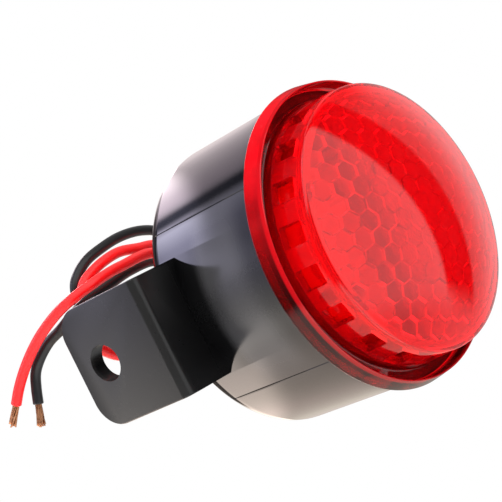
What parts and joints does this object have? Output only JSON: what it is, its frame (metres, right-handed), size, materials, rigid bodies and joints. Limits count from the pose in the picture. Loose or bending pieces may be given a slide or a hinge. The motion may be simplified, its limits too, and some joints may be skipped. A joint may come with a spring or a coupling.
{
  "type": "vehicle warning light with sounder",
  "caption": "Round warning light: red domed lens with a slotted skirt on a black barrel, a side ear with one bolt hole, inner LED ring and sounder, and two flying leads.",
  "frame": {"origin": "a point on the ear's flat outer face, on its centre line between the bend and the bolt hole", "axes": "-X out of the ear's outer face, -Y along the lamp's axis out of the lens, +Z across the ear"},
  "size_m": [0.0832, 0.1031, 0.072],
  "materials": {
    "housing": "black ABS, polished barrel and satin ear",
    "lens": "clear red polycarbonate",
    "rubber": "black moulded rubber",
    "inner_plastic": "black satin moulding",
    "white_board": "white solder mask",
    "green_board": "green solder mask",
    "steel": "zinc plated steel",
    "ferrite": "dark sintered ferrite",
    "copper": "bare and enamelled copper",
    "film": "formed polyester film",
    "capacitor_can": "sleeved aluminium can",
    "chip": "moulded epoxy",
    "led_body": "white body with yellow phosphor",
    "red_insulation": "red PVC",
    "black_insulation": "black PVC"
  },
  "bodies": {
    "lamp": {"black_lead": "black_insulation", "black_lead_strands": "copper", "boost_inductor": "ferrite", "cable_grommet": "rubber", "carrier": "inner_plastic", "carrier_screw_1": "steel", "carrier_screw_2": "steel", "carrier_screw_3": "steel", "driver_board": "green_board", "driver_board_screw_1": "steel", "driver_board_screw_2": "steel", "driver_board_screw_3": "steel", "driver_ic": "chip", "filter_capacitor": "capacitor_can", "housing": "housing", "inner_lead_black": "black_insulation", "inner_lead_red": "red_insulation", "led_01": "led_body", "led_02": "led_body", "led_03": "led_body", "led_04": "led_body", "led_05": "led_body", "led_06": "led_body", "led_07": "led_body", "led_08": "led_body", "led_09": "led_body", "led_10": "led_body", "led_11": "led_body", "led_12": "led_body", "led_board": "white_board", "led_resistor_1": "chip", "led_resistor_2": "chip", "led_resistor_3": "chip", "led_wire_black": "black_insulation", "led_wire_red": "red_insulation", "lens": "lens", "lens_gasket": "rubber", "rear_cover": "inner_plastic", "rear_cover_gasket": "rubber", "rear_cover_screw_1": "steel", "rear_cover_screw_2": "steel", "rear_cover_screw_3": "steel", "red_lead": "red_insulation", "red_lead_strands": "copper", "reverse_diode": "chip", "speaker_basket": "inner_plastic", "speaker_magnet": "ferrite", "speaker_top_plate": "steel", "speaker_wire_black": "black_insulation", "speaker_wire_red": "red_insulation", "speaker_yoke": "steel", "switching_transistor": "chip"},
    "cone": {"speaker_diaphragm": "film", "voice_coil": "copper"}
  },
  "joints": [
    {"name": "cone_travel", "type": "slide", "parent": "lamp", "child": "cone", "axis": [0, -1, 0], "range_m": [-0.0004, 0.0004], "stiffness_N_per_m": 150}
  ]
}
